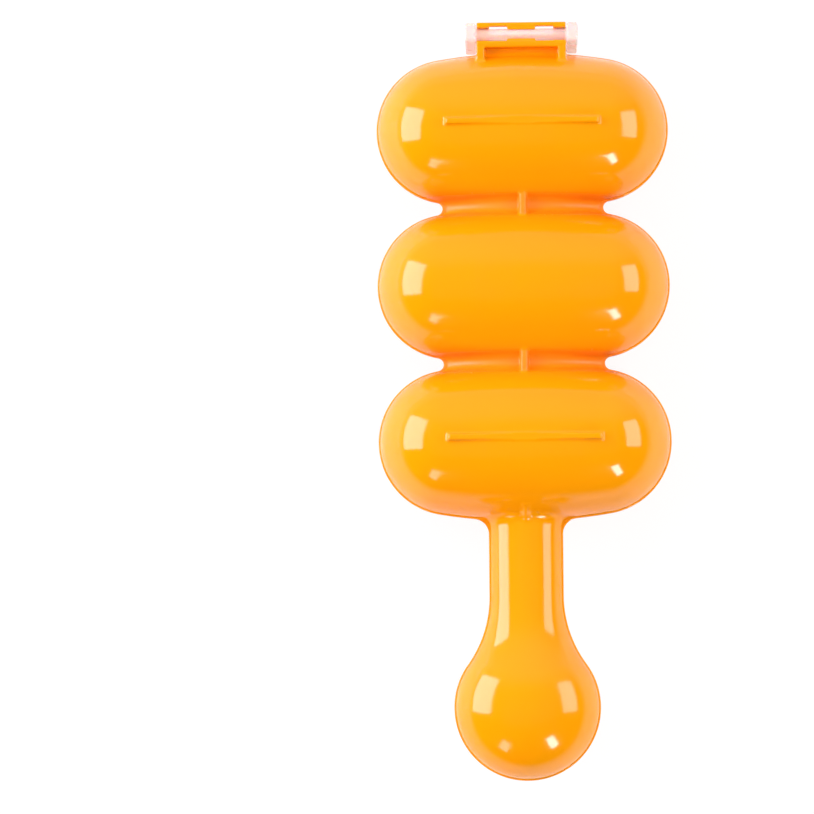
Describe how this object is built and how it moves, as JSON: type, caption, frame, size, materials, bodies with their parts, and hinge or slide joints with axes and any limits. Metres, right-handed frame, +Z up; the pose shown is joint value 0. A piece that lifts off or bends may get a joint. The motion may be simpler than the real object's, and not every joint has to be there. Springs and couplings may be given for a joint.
{
  "type": "hinged rice mold press",
  "caption": "Rice mold of hinged shell halves with barrel-shaped cavities in a row and a hollow ball-ended handle, joined by a snap-in link.",
  "frame": {"origin": "centre of the closed mold's outline, on the table it lies on", "axes": "+Z up, square to the rim's plane; +Y along the row of lobes towards the hinge; +X across the lobes"},
  "size_m": [0.094, 0.2426, 0.0506],
  "materials": {
    "orange_shell": "glossy moulded polypropylene, warm orange yellow",
    "milky_link": "translucent milky polypropylene with a pink tint"
  },
  "bodies": {
    "bottom": {"bottom_mold_half": "orange_shell"},
    "link": {"hinge_link": "milky_link"},
    "top": {"top_mold_half": "orange_shell"}
  },
  "joints": [
    {"name": "lower_rod_hinge", "type": "hinge", "parent": "bottom", "child": "link", "pos_m": [0, 0.11755, 0.015], "axis": [-1, 0, 0], "range_deg": [0, 90]},
    {"name": "upper_rod_hinge", "type": "hinge", "parent": "link", "child": "top", "pos_m": [0, 0.11755, 0.0356], "axis": [-1, 0, 0], "range_deg": [0, 90]}
  ]
}
